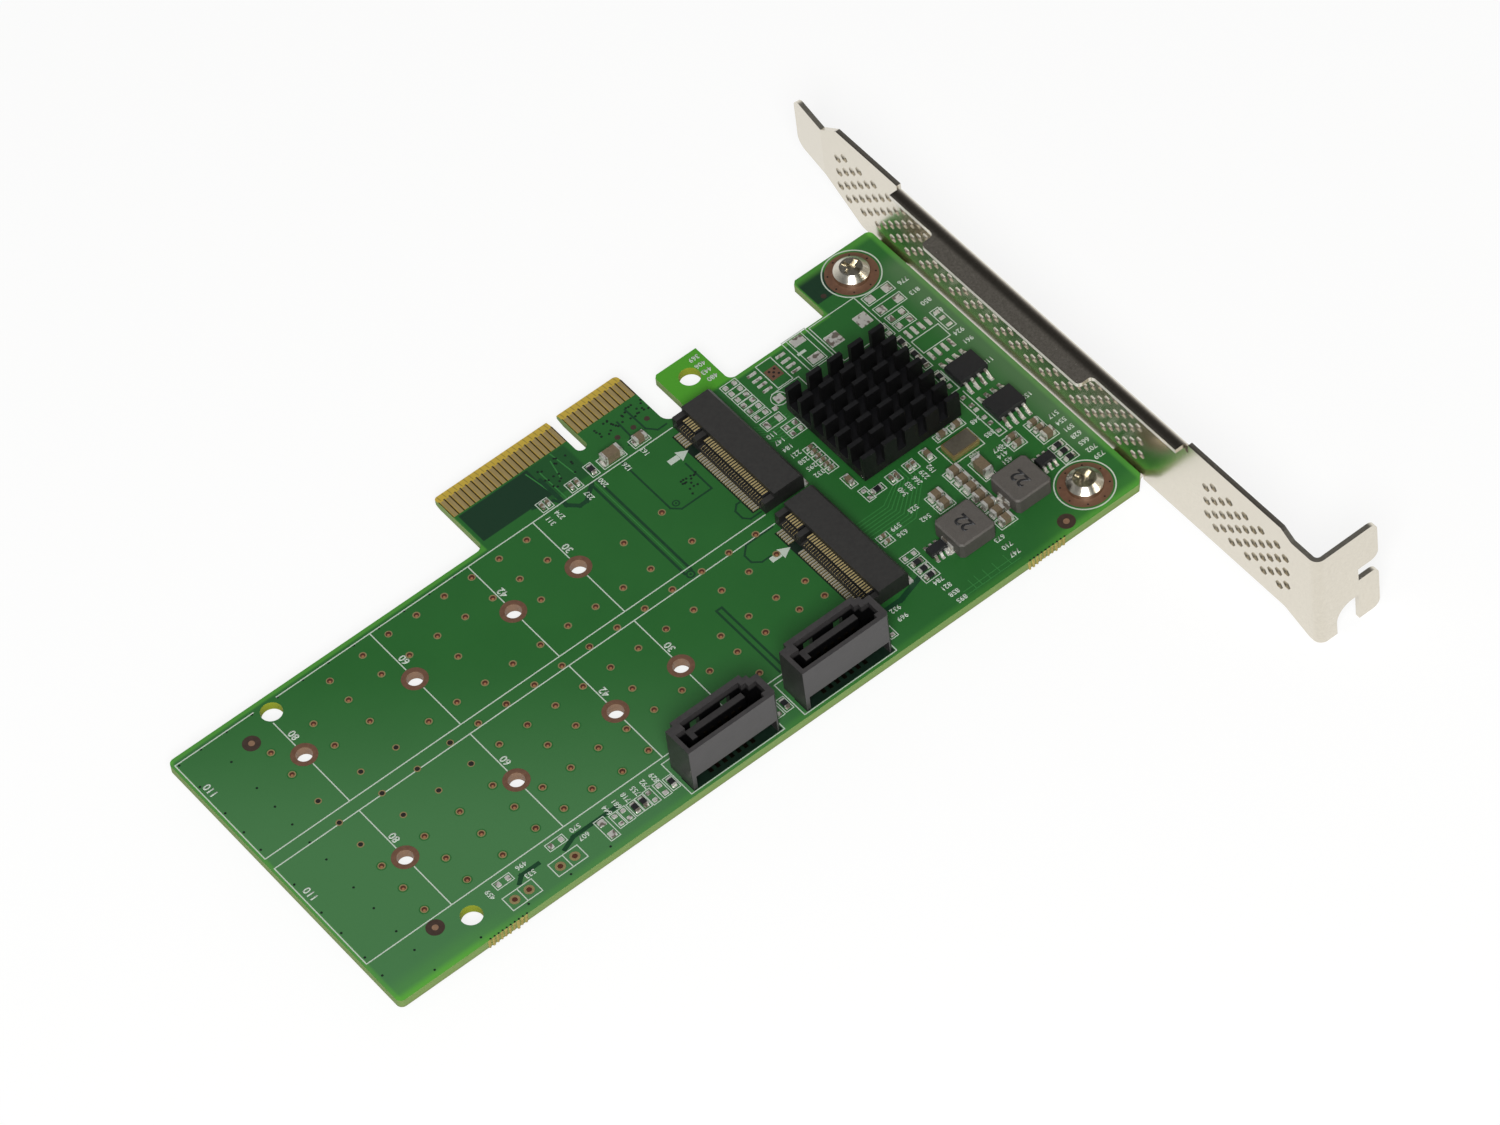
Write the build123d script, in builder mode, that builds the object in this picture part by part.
"""SATA controller card with two slot sockets, two SATA sockets and a full-height bracket.

Millimetres. X runs along the edge connector towards the bracket, Y points out of the
connector, +Z is the component side. The origin is on the board's component face, at the
middle of the connector's key notch, on the connector's front edge.
"""
from build123d import *
import math
import os

os.makedirs("parts", exist_ok=True)

# Board
board_thickness = 1.57
board_left = -79.6
board_right = 57.4
board_bottom = -68.4
board_long_edge = -12.5
board_step_left = 42.4
board_step_top = -4.2
board_corner_radius = 1.0
board_edge_chamfer = 1.5
step_chamfer = 0.6
step_fillet = 1.0

# Edge connector
connector_left = -22.05
connector_right = 12.1
connector_root_fillet = 1.3
connector_tip_fillet = 0.7
notch_width = 1.9
notch_depth = 8.1
bevel_length = 1.6
bevel_depth = 0.45
contact_pitch = 1.0
contact_width = 0.7
contact_end = 5.1
contact_thickness = 0.05
contacts_left = 21
contacts_right = 11
first_contact = 1.5

# Hook tab beside the connector
hook_left = 16.0
hook_right = 24.0
hook_top = -4.25
hook_chamfer = 0.5
hook_root_fillet = 1.2
hook_gap_fillet = 1.8
hook_hole_y = -7.95

# Holes through the board
tooling_hole_radius = 1.7
tooling_hole_x = -63.0
tooling_hole_rows = [-15.4, -63.3]
standoff_hole_radius = 1.3
module_stop_x = 16.0
module_lengths = [80.0, 60.0, 42.0, 30.0]
module_first_row = -24.75
slot_socket_width = 21.9
slot_socket_gap = 2.32
module_rows = [module_first_row, module_first_row - slot_socket_width - slot_socket_gap]

# Bracket sheet
sheet = 0.8
bracket_gap = 0.5
bracket_low = -1.8
bracket_width = 18.42
bracket_tab_face = -105.9
tab_length = 11.43
tab_low = -3.9
tab_high = 15.2
bend_radius = 0.7
bend_land = 0.3
tongue_tip = 14.1
tongue_low = 3.4
tongue_high = 13.7
tongue_bend_y = 6.5
tongue_bend_angle = 7.0
tongue_tip_fillet = 1.8
shoulder_start = 2.4
shoulder_end = 6.3
taper_start = -1.8
taper_end = 6.4
tail_start = -98.3
tail_end = -100.5
flare_end = -103.6
flare_fillet = 2.5
taper_fillet = 2.0

# Stiffening flange folded over the board
flange_start = -12.6
flange_end = -77.5
flange_wide_start = -23.0
flange_wide_end = -59.0
flange_narrow_reach = 1.85
flange_wide_reach = 4.45
flange_corner_fillet = 0.8
relief_width = 0.6

# Ears under the board, and the screws through them
screw_x = 50.1
screw_rows = [-9.0, -63.1]
ear_width = 6.5
ear_reach = 12.0
ear_tip_fillet = 2.5
ear_bend_radius = 0.4
screw_hole_radius = 1.6
screw_shank_radius = 1.25
screw_clearance = 0.1
screw_shank_end = 1.2
screw_head_radius = 2.8
screw_head_height = 1.7
screw_recess_width = 0.7
screw_recess_length = 3.0
screw_recess_depth = 0.9
screw_recess_turn = 20.0
screw_head_rounding = 1.0

# Perforations of the bracket
vent_radius = 0.72
vent_sides = 6
vent_centre = 7.03
vent_row_pitch = 3.15
vent_pitch = 3.475
vent_middle_start = -66.8
vent_middle_columns = 21
vent_low_start = -99.0
vent_low_columns = 6

# Slot opening and notch of the bracket's screw tab
tab_corner_fillet = 1.4
tab_slot_depth = 3.8
tab_slot_low = 4.9
tab_slot_width = 2.6
tab_notch_start = 61.2
tab_notch_end = 65.4
tab_notch_top = 1.6
tab_notch_fillet = 3.0

# Slot sockets for the modules
slot_socket_front = 12.3
slot_socket_back = 19.6
slot_socket_height = 3.2
slot_cover_front = 14.15
slot_cover_thickness = 0.9
slot_floor_thickness = 0.8
slot_wall = 1.0
slot_back_wall = 1.9
slot_back_chamfer = 0.5
slot_contact_pitch = 0.5
slot_contact_width = 0.22
slot_contact_thickness = 0.15
slot_contact_margin = 1.7
slot_contacts_before_key = 6
slot_key_contacts = 4
slot_key_width = 1.0
slot_tail_front = 11.2
slot_upper_reach = 1.05
hold_down_reach = 0.8
hold_down_width = 1.3
hold_down_thickness = 0.4

# Upright SATA sockets
sata_left = -26.2
sata_pitch = 20.7
sata_count = 2
sata_front = -67.5
sata_width = 16.0
sata_depth = 6.1
sata_height = 8.7
sata_wall = 0.7
sata_back_margin = 0.25
sata_step = 0.75
sata_shoulder = 1.4
sata_key_width = 1.3
sata_corner_chamfer = 0.5
sata_floor = 3.4
sata_skirt_height = 2.6
sata_blade_start = 2.4
sata_blade_length = 10.2
sata_blade_front = 3.1
sata_blade_thickness = 1.0
sata_blade_leg = 0.9
sata_blade_drop = 1.0
sata_window_start = 4.1
sata_window_pitch = 5.5
sata_window_width = 1.7
sata_window_drop = 1.5
sata_window_height = 3.0
sata_contact_pitch = 1.27
sata_contact_width = 0.6
sata_contact_thickness = 0.15
sata_contact_count = 7
sata_contact_start = 3.9
sata_contact_drop = 1.5
sata_foot_length = 2.2

# Heat sink on the controller chip
sink_left = 25.96
sink_front = -42.2
sink_side = 18.2
sink_bottom = 2.0
sink_base = 1.6
sink_top = 7.0
fin_width = 2.4
fin_thickness = 0.75
fin_columns = 5
fin_rows = 7
chip_side = 12.0
chip_height = 1.5
chip_bevel = 0.2
pad_side = 13.0

# Power inductors
inductor_side = 6.6
inductor_height = 3.0
inductor_chamfer = 0.5
inductor_top_chamfer = 0.25
inductor_lift = 0.15
inductor_centres = [(31.45, -58.4), (42.65, -57.65)]
terminal_width = 2.6
terminal_height = 1.3
terminal_thickness = 0.2
terminal_foot = 1.0

# Crystal
crystal_centre = (41.25, -45.3)
crystal_length = 5.1
crystal_width = 3.2
crystal_corner = 0.3
crystal_can_height = 0.8
crystal_lid_height = 0.3
crystal_rim = 0.3

# Eight-lead and six-lead chips
soic_centres = [(50.8, -35.1), (50.8, -43.9)]
soic_length = 5.2
soic_width = 3.9
soic_height = 1.6
soic_span = 6.9
soic_pitch = 1.27
soic_lead_width = 0.45
sot_centres = [(26.4, -57.9), (48.5, -56.0)]
sot_length = 2.9
sot_width = 1.6
sot_height = 1.15
sot_span = 2.8
sot_pitch = 0.95
sot_lead_width = 0.4
package_lift = 0.1
package_taper = 7.0
lead_thickness = 0.2
lead_foot = 0.5
lead_knee = 0.3

# Small capacitors and resistors, as length, width, height and length of one end
size_0402 = (1.0, 0.5, 0.5, 0.25)
size_0603 = (1.6, 0.8, 0.8, 0.35)
size_0603_flat = (1.6, 0.8, 0.45, 0.3)
size_0805 = (2.0, 1.25, 1.2, 0.45)
size_1206 = (3.2, 1.6, 1.6, 0.5)


def save(piece, name):
    """Label a finished piece and write it to its own file."""
    piece.part.label = name
    export_step(piece.part, f"parts/{name}.step")


def vertices_at(shape, corners):
    """The vertices of a flat shape that stand at the given corners."""
    found = []
    for x, y in corners:
        found.append(shape.vertices().sort_by_distance(Vector(x, y, 0))[0])
    return found


# Board: one outline with the connector, the hook tab and the step towards the bracket
standoff_x = [module_stop_x - length for length in module_lengths]
with BuildPart() as circuit_board:
    with BuildSketch(Plane.XY.offset(-board_thickness)) as outline:
        with BuildLine():
            Polyline(
                (board_left, board_bottom),
                (board_right, board_bottom),
                (board_right, board_step_top),
                (board_step_left, board_step_top),
                (board_step_left, board_long_edge),
                (hook_right, board_long_edge),
                (hook_right, hook_top),
                (hook_left, hook_top),
                (hook_left, board_long_edge),
                (connector_right, board_long_edge),
                (connector_right, 0),
                (connector_left, 0),
                (connector_left, board_long_edge),
                (board_left, board_long_edge),
                close=True,
            )
        make_face()
        fillet(vertices_at(outline, [(hook_left, board_long_edge)]), hook_gap_fillet)
        fillet(vertices_at(outline, [(connector_right, board_long_edge)]), hook_gap_fillet)
        fillet(vertices_at(outline, [(connector_left, board_long_edge)]), connector_root_fillet)
        fillet(vertices_at(outline, [(hook_right, board_long_edge)]), hook_root_fillet)
        fillet(vertices_at(outline, [(board_step_left, board_long_edge)]), step_fillet)
        fillet(
            vertices_at(outline, [(connector_left, 0), (connector_right, 0)]),
            connector_tip_fillet,
        )
        fillet(
            vertices_at(
                outline,
                [
                    (board_left, board_long_edge),
                    (board_left, board_bottom),
                    (board_right, board_step_top),
                ],
            ),
            board_corner_radius,
        )
        chamfer(vertices_at(outline, [(board_right, board_bottom)]), board_edge_chamfer)
        chamfer(vertices_at(outline, [(board_step_left, board_step_top)]), step_chamfer)
        chamfer(vertices_at(outline, [(hook_left, hook_top)]), hook_chamfer)
        with Locations((0, -notch_depth / 2 + notch_width / 2)):
            Rectangle(notch_width, notch_depth, mode=Mode.SUBTRACT)
        with Locations((0, -notch_depth + notch_width / 2)):
            Circle(notch_width / 2, mode=Mode.SUBTRACT)
        with Locations([(tooling_hole_x, y) for y in tooling_hole_rows]):
            Circle(tooling_hole_radius, mode=Mode.SUBTRACT)
        with Locations(((hook_left + hook_right) / 2, hook_hole_y)):
            Circle(tooling_hole_radius, mode=Mode.SUBTRACT)
        with Locations([(x, y) for x in standoff_x for y in module_rows]):
            Circle(standoff_hole_radius, mode=Mode.SUBTRACT)
        with Locations([(screw_x, y) for y in screw_rows]):
            Circle(screw_hole_radius, mode=Mode.SUBTRACT)
    extrude(amount=board_thickness)
    with BuildSketch(Plane.YZ.offset(connector_left)):
        with BuildLine():
            Polyline((0, 0), (-bevel_length, 0), (0, -bevel_depth), close=True)
        make_face()
        with BuildLine():
            Polyline(
                (0, -board_thickness),
                (-bevel_length, -board_thickness),
                (0, -board_thickness + bevel_depth),
                close=True,
            )
        make_face()
    extrude(amount=connector_right - connector_left, mode=Mode.SUBTRACT)
save(circuit_board, "circuit_board")

# Gold contacts on both faces of the connector
contact_x = [-first_contact - contact_pitch * i for i in range(contacts_left)]
contact_x += [first_contact + contact_pitch * i for i in range(contacts_right)]
contact_length = contact_end - bevel_length
for name, base in (
    ("edge_contacts_top", 0.0),
    ("edge_contacts_bottom", -board_thickness - contact_thickness),
):
    with BuildPart() as edge_contacts:
        with BuildSketch(Plane.XY.offset(base)):
            with Locations([(x, -bevel_length - contact_length / 2) for x in contact_x]):
                Rectangle(contact_width, contact_length)
        extrude(amount=contact_thickness)
    save(edge_contacts, name)

# Bracket: one folded and perforated sheet
bracket_face = board_right + bracket_gap
bracket_outside = bracket_face + sheet
bracket_high = bracket_low + bracket_width
outer_bend = bend_radius + sheet
tab_end = bracket_face + tab_length
tab_root = bracket_tab_face + outer_bend + bend_land
ear_top = -board_thickness
ear_bottom = ear_top - sheet
ear_root = ear_top + ear_bend_radius + bend_land
flange_root = bracket_high - outer_bend - bend_land
ear_half_slot = ear_width / 2 + relief_width


def folded_section(plane, outer_corner, root, leg, inner_radius):
    """Section of a fold: an L of sheet, from its root round the bend to the end of its leg."""
    across, up = outer_corner
    inner_across = across + math.copysign(sheet, leg - across)
    inner_up = up + math.copysign(sheet, root - up)
    with BuildSketch(plane) as section:
        with BuildLine():
            Polyline(
                (across, root),
                (across, up),
                (leg, up),
                (leg, inner_up),
                (inner_across, inner_up),
                (inner_across, root),
                close=True,
            )
        make_face()
        fillet(vertices_at(section, [(across, up)]), inner_radius + sheet)
        fillet(vertices_at(section, [(inner_across, inner_up)]), inner_radius)
    return section.sketch


def vent_places(start, columns):
    """Centres of a staggered field: columns of three, and between them columns of four."""
    places = []
    for k in range(columns):
        for row in (-1, 0, 1):
            places.append((start + vent_pitch * k, vent_centre + vent_row_pitch * row))
    for k in range(columns - 1):
        for row in (-1.5, -0.5, 0.5, 1.5):
            places.append((start + vent_pitch * (k + 0.5), vent_centre + vent_row_pitch * row))
    return places


def edges_where(edges, axis, place):
    """Those edges whose middle stands at one place along an axis."""
    near = 0.01
    return edges.filter_by_position(axis, place - near, place + near)


bend_turn = math.radians(tongue_bend_angle)
tongue_plane = Plane(
    origin=(bracket_face, tongue_bend_y, 0),
    x_dir=(math.sin(bend_turn), math.cos(bend_turn), 0),
    z_dir=(math.cos(bend_turn), -math.sin(bend_turn), 0),
)
tongue_length = (tongue_tip - tongue_bend_y) / math.cos(bend_turn)
with BuildPart() as mounting_bracket:
    with BuildSketch(Plane.YZ.offset(bracket_face)) as plate:
        with BuildLine():
            Polyline(
                (tab_root, tab_low),
                (flare_end, tab_low),
                (tail_start, bracket_low),
                (taper_start, bracket_low),
                (taper_end, tongue_low),
                (tongue_bend_y, tongue_low),
                (tongue_bend_y, tongue_high),
                (shoulder_end, tongue_high),
                (shoulder_start, bracket_high),
                (tail_start, bracket_high),
                (tail_end, tab_high),
                (tab_root, tab_high),
                close=True,
            )
        make_face()
        fillet(vertices_at(plate, [(flare_end, tab_low), (tail_start, bracket_low)]), flare_fillet)
        fillet(vertices_at(plate, [(taper_start, bracket_low)]), taper_fillet)
        with Locations(((flange_start + flange_end) / 2, bracket_high)):
            Rectangle(
                flange_start - flange_end + 2 * relief_width,
                2 * (outer_bend + bend_land),
                mode=Mode.SUBTRACT,
            )
        with Locations([(y, bracket_low) for y in screw_rows]):
            Rectangle(2 * ear_half_slot, 2 * (ear_root - bracket_low), mode=Mode.SUBTRACT)
    extrude(amount=sheet)
    with BuildSketch(tongue_plane) as tongue:
        with Locations((tongue_length / 2, (tongue_low + tongue_high) / 2)):
            Rectangle(tongue_length, tongue_high - tongue_low)
        fillet(tongue.vertices().group_by(Axis.X)[-1], tongue_tip_fillet)
    extrude(amount=sheet)

    # Flange over the board, trimmed narrow at both ends
    flange_section = folded_section(
        Plane.XZ.offset(-flange_start),
        (bracket_outside, bracket_high),
        flange_root,
        bracket_face - flange_wide_reach,
        bend_radius,
    )
    extrude(flange_section, amount=flange_start - flange_end)
    trim = (flange_wide_reach - flange_narrow_reach, 2 * (flange_start - flange_wide_start))
    narrow_edge = bracket_face - flange_narrow_reach
    with BuildSketch(Plane.XY.offset(bracket_high)) as first_trim:
        with Locations((narrow_edge, flange_wide_start)):
            Rectangle(*trim, align=(Align.MAX, Align.MIN))
        fillet(vertices_at(first_trim, [(narrow_edge, flange_wide_start)]), flange_corner_fillet)
    extrude(amount=-sheet, mode=Mode.SUBTRACT)
    trim = (flange_wide_reach - flange_narrow_reach, 2 * (flange_wide_end - flange_end))
    with BuildSketch(Plane.XY.offset(bracket_high)) as last_trim:
        with Locations((narrow_edge, flange_wide_end)):
            Rectangle(*trim, align=(Align.MAX, Align.MAX))
        fillet(vertices_at(last_trim, [(narrow_edge, flange_wide_end)]), flange_corner_fillet)
    extrude(amount=-sheet, mode=Mode.SUBTRACT)
    upright = mounting_bracket.edges().filter_by(Axis.Z)
    fillet(edges_where(upright, Axis.X, bracket_face - flange_wide_reach), flange_corner_fillet)

    # Ears under the board
    for y in screw_rows:
        ear_section = folded_section(
            Plane.XZ.offset(-y - ear_width / 2),
            (bracket_outside, ear_bottom),
            ear_root,
            bracket_face - ear_reach,
            ear_bend_radius,
        )
        extrude(ear_section, amount=ear_width)
    upright = mounting_bracket.edges().filter_by(Axis.Z)
    fillet(edges_where(upright, Axis.X, bracket_face - ear_reach), ear_tip_fillet)
    with BuildSketch(Plane.XY.offset(ear_top)):
        with Locations([(screw_x, y) for y in screw_rows]):
            Circle(screw_shank_radius + screw_clearance)
    extrude(amount=-sheet, mode=Mode.SUBTRACT)

    # Screw tab, with its open slot and its notch
    tab_section = folded_section(
        Plane.XY.offset(tab_low),
        (bracket_face, bracket_tab_face),
        tab_root,
        tab_end,
        bend_radius,
    )
    extrude(tab_section, amount=tab_high - tab_low)
    with BuildSketch(Plane.XZ.offset(-bracket_tab_face)) as tab_cuts:
        with Locations((tab_end, tab_slot_low)):
            Rectangle(2 * tab_slot_depth, tab_slot_width, align=(Align.CENTER, Align.MIN))
        with Locations((tab_notch_start, tab_low)):
            Rectangle(
                tab_notch_end - tab_notch_start,
                2 * (tab_notch_top - tab_low),
                align=(Align.MIN, Align.CENTER),
            )
        fillet(vertices_at(tab_cuts, [(tab_notch_start, tab_notch_top)]), tab_notch_fillet)
    extrude(amount=-sheet, mode=Mode.SUBTRACT)
    level = mounting_bracket.edges().filter_by(Axis.Y)
    fillet(edges_where(level, Axis.X, tab_end), tab_corner_fillet)

    # Perforations, cut last because they are many
    vents = vent_places(vent_middle_start, vent_middle_columns)
    vents += vent_places(vent_low_start, vent_low_columns)
    with BuildSketch(Plane.YZ.offset(bracket_face)):
        with Locations(vents):
            RegularPolygon(vent_radius, vent_sides, major_radius=False)
    extrude(amount=sheet, mode=Mode.SUBTRACT)
save(mounting_bracket, "mounting_bracket")

# Bracket screws: pan heads with a cross recess, through the board into the ears
screw_end = ear_bottom - screw_shank_end
with BuildPart() as bracket_screws:
    with Locations([(screw_x, y) for y in screw_rows]):
        Cylinder(
            screw_head_radius,
            screw_head_height,
            align=(Align.CENTER, Align.CENTER, Align.MIN),
        )
    rims = bracket_screws.edges().filter_by(GeomType.CIRCLE).group_by(Axis.Z)[-1]
    chamfer(rims, screw_head_height / 2, screw_head_rounding)
    with Locations([(screw_x, y) for y in screw_rows]):
        Cylinder(
            screw_shank_radius,
            -screw_end,
            align=(Align.CENTER, Align.CENTER, Align.MAX),
        )
    with BuildSketch(Plane.XY.offset(screw_head_height)):
        with Locations([(screw_x, y) for y in screw_rows]):
            Rectangle(screw_recess_length, screw_recess_width, rotation=screw_recess_turn)
            Rectangle(screw_recess_width, screw_recess_length, rotation=screw_recess_turn)
    extrude(amount=-screw_recess_depth, mode=Mode.SUBTRACT)
save(bracket_screws, "bracket_screws")

# Controller chip, thermal pad and pin-fin heat sink
sink_centre = (sink_left + sink_side / 2, sink_front + sink_side / 2)
with BuildPart() as controller_chip:
    with BuildSketch():
        with Locations(sink_centre):
            Rectangle(chip_side, chip_side)
    extrude(amount=chip_height)
    chamfer(controller_chip.edges().group_by(Axis.Z)[-1], chip_bevel)
save(controller_chip, "controller_chip")

with BuildPart() as thermal_pad:
    with BuildSketch(Plane.XY.offset(chip_height)):
        with Locations(sink_centre):
            Rectangle(pad_side, pad_side)
    extrude(amount=sink_bottom - chip_height)
save(thermal_pad, "thermal_pad")

fin_column_pitch = (sink_side - fin_width) / (fin_columns - 1)
fin_row_pitch = (sink_side - fin_thickness) / (fin_rows - 1)
with BuildPart() as heat_sink:
    with BuildSketch(Plane.XY.offset(sink_bottom)):
        with Locations(sink_centre):
            Rectangle(sink_side, sink_side)
    extrude(amount=sink_base)
    with BuildSketch(Plane.XY.offset(sink_bottom + sink_base)):
        with Locations(sink_centre):
            with GridLocations(fin_column_pitch, fin_row_pitch, fin_columns, fin_rows):
                Rectangle(fin_width, fin_thickness)
    extrude(amount=sink_top - sink_bottom - sink_base)
save(heat_sink, "heat_sink")

# Slot sockets for the modules, their contacts and their hold-down feet
cover_underside = slot_socket_height - slot_cover_thickness
slot_back_inside = slot_socket_back - slot_back_wall
slot_first_contact = slot_socket_width / 2 - slot_contact_margin
slot_contact_span = slot_socket_width - 2 * slot_contact_margin
slot_contact_count = 1 + int(round(slot_contact_span / slot_contact_pitch, 3))
slot_contacts_after_key = slot_contact_count - slot_contacts_before_key - slot_key_contacts
key_place = slot_first_contact - slot_contact_pitch * (
    slot_contacts_before_key + (slot_key_contacts - 1) / 2
)
before_key = [slot_first_contact - slot_contact_pitch * i for i in range(slot_contacts_before_key)]
after_key_first = slot_first_contact - slot_contact_pitch * (
    slot_contacts_before_key + slot_key_contacts
)
after_key = [after_key_first - slot_contact_pitch * i for i in range(slot_contacts_after_key)]
slot_contact_places = before_key + after_key
for number, row in enumerate(module_rows, start=1):
    with BuildPart() as slot_socket:
        with BuildSketch(Plane.XZ.offset(-row)) as slot_section:
            with BuildLine():
                Polyline(
                    (slot_socket_front, 0),
                    (slot_socket_back, 0),
                    (slot_socket_back, slot_socket_height),
                    (slot_cover_front, slot_socket_height),
                    (slot_cover_front, cover_underside),
                    (slot_back_inside, cover_underside),
                    (slot_back_inside, slot_floor_thickness),
                    (slot_socket_front, slot_floor_thickness),
                    close=True,
                )
            make_face()
            chamfer(
                vertices_at(slot_section, [(slot_socket_back, slot_socket_height)]),
                slot_back_chamfer,
            )
        extrude(amount=slot_socket_width / 2, both=True)
        with BuildSketch(Plane.XY.offset(slot_floor_thickness)):
            for side in (-1, 1):
                with Locations((slot_socket_front, row + side * (slot_socket_width - slot_wall) / 2)):
                    Rectangle(
                        slot_back_inside - slot_socket_front,
                        slot_wall,
                        align=(Align.MIN, Align.CENTER),
                    )
            with Locations((slot_socket_front, row + key_place)):
                Rectangle(
                    slot_back_inside - slot_socket_front,
                    slot_key_width,
                    align=(Align.MIN, Align.CENTER),
                )
        extrude(amount=cover_underside - slot_floor_thickness)
    save(slot_socket, f"slot_socket_{number}")

    with BuildPart() as upper_contacts:
        with BuildSketch(Plane.XY.offset(cover_underside - slot_contact_thickness)):
            with Locations([(slot_back_inside, row + y) for y in slot_contact_places]):
                Rectangle(
                    slot_back_inside - slot_cover_front + slot_upper_reach,
                    slot_contact_width,
                    align=(Align.MAX, Align.CENTER),
                )
        extrude(amount=slot_contact_thickness)
    save(upper_contacts, f"slot_upper_contacts_{number}")

    # The lower contacts show only as the solder tails in front of the housing
    with BuildPart() as lower_contacts:
        with BuildSketch():
            with Locations([(slot_tail_front, row + y) for y in slot_contact_places]):
                Rectangle(
                    slot_socket_front - slot_tail_front,
                    slot_contact_width,
                    align=(Align.MIN, Align.CENTER),
                )
        extrude(amount=slot_contact_thickness)
    save(lower_contacts, f"slot_lower_contacts_{number}")

    foot_offset = (slot_socket_width - hold_down_width) / 2
    with BuildPart() as hold_downs:
        with BuildSketch():
            for side in (-1, 1):
                with Locations((slot_socket_back, row + side * foot_offset)):
                    Rectangle(hold_down_reach, hold_down_width, align=(Align.MIN, Align.CENTER))
        extrude(amount=hold_down_thickness)
    save(hold_downs, f"slot_hold_downs_{number}")

# Upright SATA sockets, each with seven contacts on the blade inside
blade_top = sata_height - sata_blade_drop
back_inside = sata_depth - sata_wall - sata_back_margin
right_inside = sata_width - sata_wall - sata_back_margin
contact_face = sata_blade_front - sata_contact_thickness
sata_contact_places = [
    sata_contact_start + sata_contact_pitch * i for i in range(sata_contact_count)
]
for number in range(sata_count):
    socket_plane = Plane(origin=(sata_left + sata_pitch * number, sata_front, 0))
    with BuildPart() as sata_socket:
        with BuildSketch(socket_plane) as shell:
            with BuildLine():
                Polyline(
                    (0, 0),
                    (sata_width, 0),
                    (sata_width, sata_depth - 2 * sata_step),
                    (sata_width - sata_key_width, sata_depth - 2 * sata_step),
                    (sata_width - sata_key_width, sata_depth - sata_step),
                    (sata_width - sata_key_width - sata_step, sata_depth - sata_step),
                    (sata_width - sata_key_width - sata_step, sata_depth),
                    (sata_shoulder, sata_depth),
                    (sata_shoulder, sata_depth - sata_step),
                    (0, sata_depth - sata_step),
                    close=True,
                )
            make_face()
            chamfer(shell.vertices().group_by(Axis.Y)[0].sort_by(Axis.X)[-1], sata_corner_chamfer)
        extrude(amount=sata_height)

        # Mating cavity, keyed by steps in its back corners
        with BuildSketch(socket_plane.offset(sata_height)):
            with BuildLine():
                Polyline(
                    (sata_wall, sata_wall),
                    (right_inside - sata_step, sata_wall),
                    (right_inside - sata_step, 2 * sata_wall),
                    (right_inside, 2 * sata_wall),
                    (right_inside, back_inside - 2 * sata_step),
                    (right_inside - sata_key_width, back_inside - 2 * sata_step),
                    (right_inside - sata_key_width, back_inside - sata_step),
                    (right_inside - sata_key_width - sata_step, back_inside - sata_step),
                    (right_inside - sata_key_width - sata_step, back_inside),
                    (sata_blade_start, back_inside),
                    (sata_blade_start, back_inside - sata_key_width),
                    (sata_wall, back_inside - sata_key_width),
                    close=True,
                )
            make_face()
        extrude(amount=sata_floor - sata_height, mode=Mode.SUBTRACT)

        # Blade with the L foot that keys the plug
        with BuildSketch(socket_plane.offset(sata_floor)):
            with Locations((sata_blade_start, sata_blade_front)):
                Rectangle(
                    sata_blade_length,
                    sata_blade_thickness,
                    align=(Align.MIN, Align.MIN),
                )
                Rectangle(sata_blade_leg, sata_blade_leg, align=(Align.MIN, Align.MAX))
        extrude(amount=blade_top - sata_floor)

        # Recess under the front wall for the solder feet, and the way up for each contact
        with BuildSketch(socket_plane):
            with Locations((sata_wall, 0)):
                Rectangle(
                    sata_width - 2 * sata_wall,
                    sata_blade_front,
                    align=(Align.MIN, Align.MIN),
                )
        extrude(amount=sata_skirt_height, mode=Mode.SUBTRACT)
        with BuildSketch(socket_plane.offset(sata_skirt_height)):
            with Locations([(x, sata_blade_front) for x in sata_contact_places]):
                Rectangle(
                    sata_contact_width,
                    sata_contact_thickness,
                    align=(Align.CENTER, Align.MAX),
                )
        extrude(amount=sata_floor - sata_skirt_height, mode=Mode.SUBTRACT)

        # Two windows in the back wall
        window_base = sata_height - sata_window_drop - sata_window_height
        with BuildSketch(socket_plane.offset(window_base)):
            for window in range(2):
                with Locations((sata_window_start + sata_window_pitch * window, sata_depth)):
                    Rectangle(
                        sata_window_width,
                        sata_depth - back_inside,
                        align=(Align.MIN, Align.MAX),
                    )
        extrude(amount=sata_window_height, mode=Mode.SUBTRACT)
    save(sata_socket, f"sata_socket_{number + 1}")

    with BuildPart() as sata_contacts:
        with BuildSketch(socket_plane):
            with Locations([(x, sata_blade_front) for x in sata_contact_places]):
                Rectangle(
                    sata_contact_width,
                    sata_contact_thickness,
                    align=(Align.CENTER, Align.MAX),
                )
        extrude(amount=blade_top - sata_contact_drop)
        with BuildSketch(socket_plane):
            with Locations([(x, contact_face) for x in sata_contact_places]):
                Rectangle(
                    sata_contact_width,
                    sata_foot_length,
                    align=(Align.CENTER, Align.MAX),
                )
        extrude(amount=sata_contact_thickness)
    save(sata_contacts, f"sata_contacts_{number + 1}")

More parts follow.
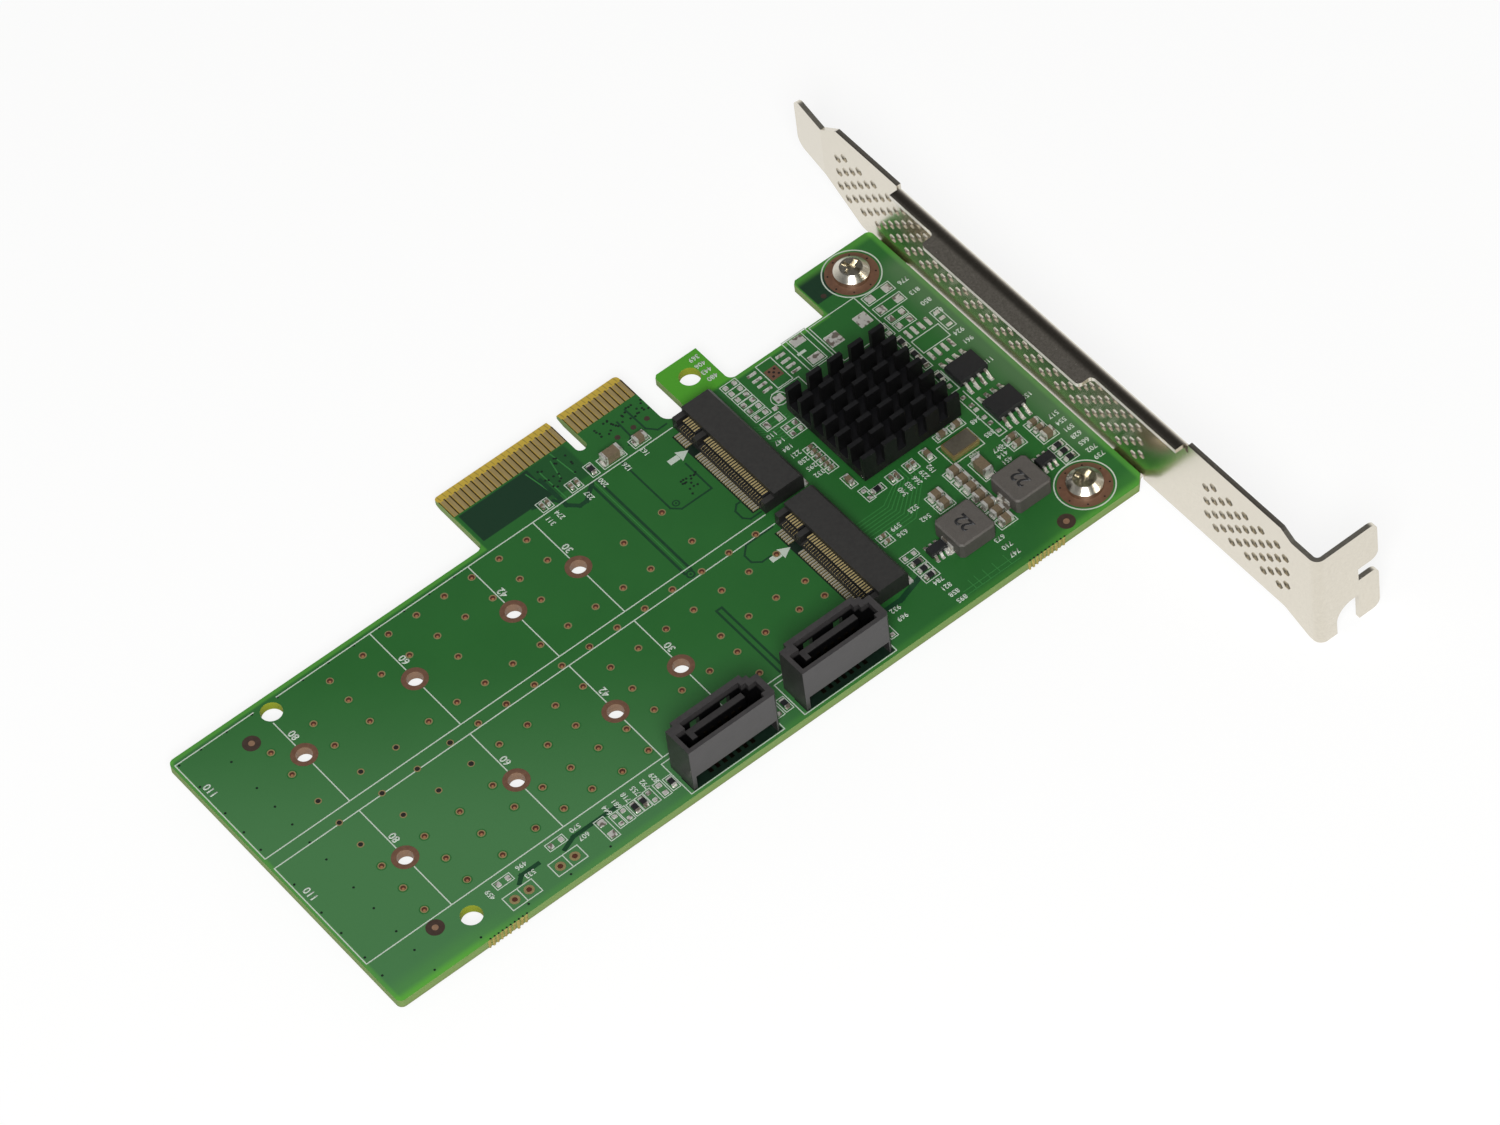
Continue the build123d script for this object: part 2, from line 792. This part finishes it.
# Power inductors: pressed bodies with a metal terminal wrapped under each end
for number, (x, y) in enumerate(inductor_centres, start=1):
    with BuildPart() as inductor:
        with BuildSketch(Plane.XY.offset(inductor_lift)) as block:
            with Locations((x, y)):
                Rectangle(inductor_side, inductor_side)
            chamfer(block.vertices(), inductor_chamfer)
        extrude(amount=inductor_height - inductor_lift)
        chamfer(inductor.edges().group_by(Axis.Z)[-1], inductor_top_chamfer)
    save(inductor, f"inductor_{number}")
with BuildPart() as inductor_terminals:
    for x, y in inductor_centres:
        with BuildSketch():
            for side in (-1, 1):
                with Locations((x + side * (inductor_side - terminal_foot) / 2, y)):
                    Rectangle(terminal_foot, terminal_width)
        extrude(amount=inductor_lift)
        with BuildSketch():
            for side in (-1, 1):
                with Locations((x + side * (inductor_side + terminal_thickness) / 2, y)):
                    Rectangle(terminal_thickness, terminal_width)
        extrude(amount=terminal_height)
save(inductor_terminals, "inductor_terminals")

# Crystal: a metal can with a raised lid
with BuildPart() as crystal_can:
    with BuildSketch():
        with Locations(crystal_centre):
            RectangleRounded(crystal_length, crystal_width, crystal_corner)
    extrude(amount=crystal_can_height)
save(crystal_can, "crystal_can")
with BuildPart() as crystal_lid:
    with BuildSketch(Plane.XY.offset(crystal_can_height)):
        with Locations(crystal_centre):
            Rectangle(crystal_length - 2 * crystal_rim, crystal_width - 2 * crystal_rim)
    extrude(amount=crystal_lid_height)
save(crystal_lid, "crystal_lid")


# Chips with gull-wing leads along both long sides
def make_package(centre, length, width, height):
    """Moulded body that tapers up and down from the plane of its leads."""
    middle = (height + package_lift) / 2
    with BuildPart() as package:
        for direction in (1, -1):
            with BuildSketch(Plane.XY.offset(middle)):
                with Locations(centre):
                    Rectangle(length, width)
            extrude(
                amount=middle - package_lift,
                dir=(0, 0, direction),
                taper=package_taper,
            )
    return package


def make_leads(centres, width, height, span, lead_width, offsets):
    """Gull-wing leads from the body's side down to a foot on the board."""
    shoulder = (height + package_lift) / 2
    knee = width / 2 + lead_knee
    with BuildPart() as leads:
        for x, y in centres:
            for side in (-1, 1):
                for offset in offsets[side]:
                    with BuildSketch(Plane.YZ.offset(x + offset)):
                        with BuildLine():
                            Polyline(
                                (y + side * width / 2, shoulder),
                                (y + side * knee, shoulder),
                                (y + side * span / 2, lead_thickness),
                                (y + side * span / 2, 0),
                                (y + side * (span / 2 - lead_foot), 0),
                                (y + side * width / 2, shoulder - lead_thickness),
                                close=True,
                            )
                        make_face()
                    extrude(amount=lead_width / 2, both=True)
    return leads


soic_offsets = [soic_pitch * (i - 1.5) for i in range(4)]
for number, centre in enumerate(soic_centres, start=1):
    save(
        make_package(centre, soic_length, soic_width, soic_height),
        f"eight_lead_chip_{number}",
    )
save(
    make_leads(
        soic_centres,
        soic_width,
        soic_height,
        soic_span,
        soic_lead_width,
        {-1: soic_offsets, 1: soic_offsets},
    ),
    "eight_lead_chip_leads",
)
sot_offsets = [sot_pitch * (i - 1) for i in range(3)]
for number, centre in enumerate(sot_centres, start=1):
    save(
        make_package(centre, sot_length, sot_width, sot_height),
        f"six_lead_chip_{number}",
    )
save(
    make_leads(
        sot_centres,
        sot_width,
        sot_height,
        sot_span,
        sot_lead_width,
        {-1: sot_offsets, 1: sot_offsets},
    ),
    "six_lead_chip_leads",
)


# Small two-ended components: a middle, and metal ends, each group in its own two pieces
def column(x, y, pitch, count):
    """Places one above another, from the given one towards -Y."""
    return [(x, y - pitch * i) for i in range(count)]


def make_two_ended(size, along_x, along_y, names):
    """Middles and metal ends of one size of component, lying along X or along Y."""
    length, width, height, end = size
    middle_name, ends_name = names
    with BuildPart() as middles:
        with BuildSketch():
            with Locations(along_x):
                Rectangle(length - 2 * end, width)
            if along_y:
                with Locations(along_y):
                    Rectangle(width, length - 2 * end)
        extrude(amount=height)
    save(middles, middle_name)
    with BuildPart() as ends:
        with BuildSketch():
            for side in (-1, 1):
                shift = side * (length - end) / 2
                with Locations([(x + shift, y) for x, y in along_x]):
                    Rectangle(end, width)
                if along_y:
                    with Locations([(x, y + shift) for x, y in along_y]):
                        Rectangle(width, end)
        extrude(amount=height)
    save(ends, ends_name)


make_two_ended(
    size_0402,
    column(24.7, -30.6, 1.0, 6) + column(22.25, -50.6, 1.15, 2),
    [
        (-11.2, -12.4),
        (-10.2, -12.4),
        (-5.8, -12.4),
        (-4.7, -12.4),
        (29.9, -43.2),
        (30.8, -43.2),
        (33.1, -43.2),
        (34.0, -43.2),
    ],
    ("capacitors_1mm", "capacitor_ends_1mm"),
)
make_two_ended(
    size_0603,
    [(40.5, -41.9), (43.25, -41.9)] + column(47.7, -49.25, 1.45, 2) + column(51.8, -49.25, 1.45, 2),
    [(36.6, -43.3), (25.1, -39.25)],
    ("capacitors_1_6mm", "capacitor_ends_1_6mm"),
)
make_two_ended(
    size_0805,
    column(37.35, -48.55, 1.98, 7) + column(32.6, -50.2, 1.9, 2) + [(7.1, -12.3), (52.0, -52.4)],
    [],
    ("capacitors_2mm", "capacitor_ends_2mm"),
)
make_two_ended(
    size_1206,
    [(2.0, -12.1)],
    [(40.9, -50.8)],
    ("capacitors_3_2mm", "capacitor_ends_3_2mm"),
)
make_two_ended(
    size_0603_flat,
    column(22.9, -57.6, 1.55, 3) + column(51.75, -54.9, 1.4, 3) + [(27.1, -43.3)],
    [(-1.6, -11.9), (-34.4, -64.3), (-32.9, -64.3), (-27.8, -64.3), (-7.2, -64.4)]
    + column(47.2, -24.4, 3.1, 2)
    + column(47.2, -29.5, 3.8, 2),
    ("resistors", "resistor_ends"),
)
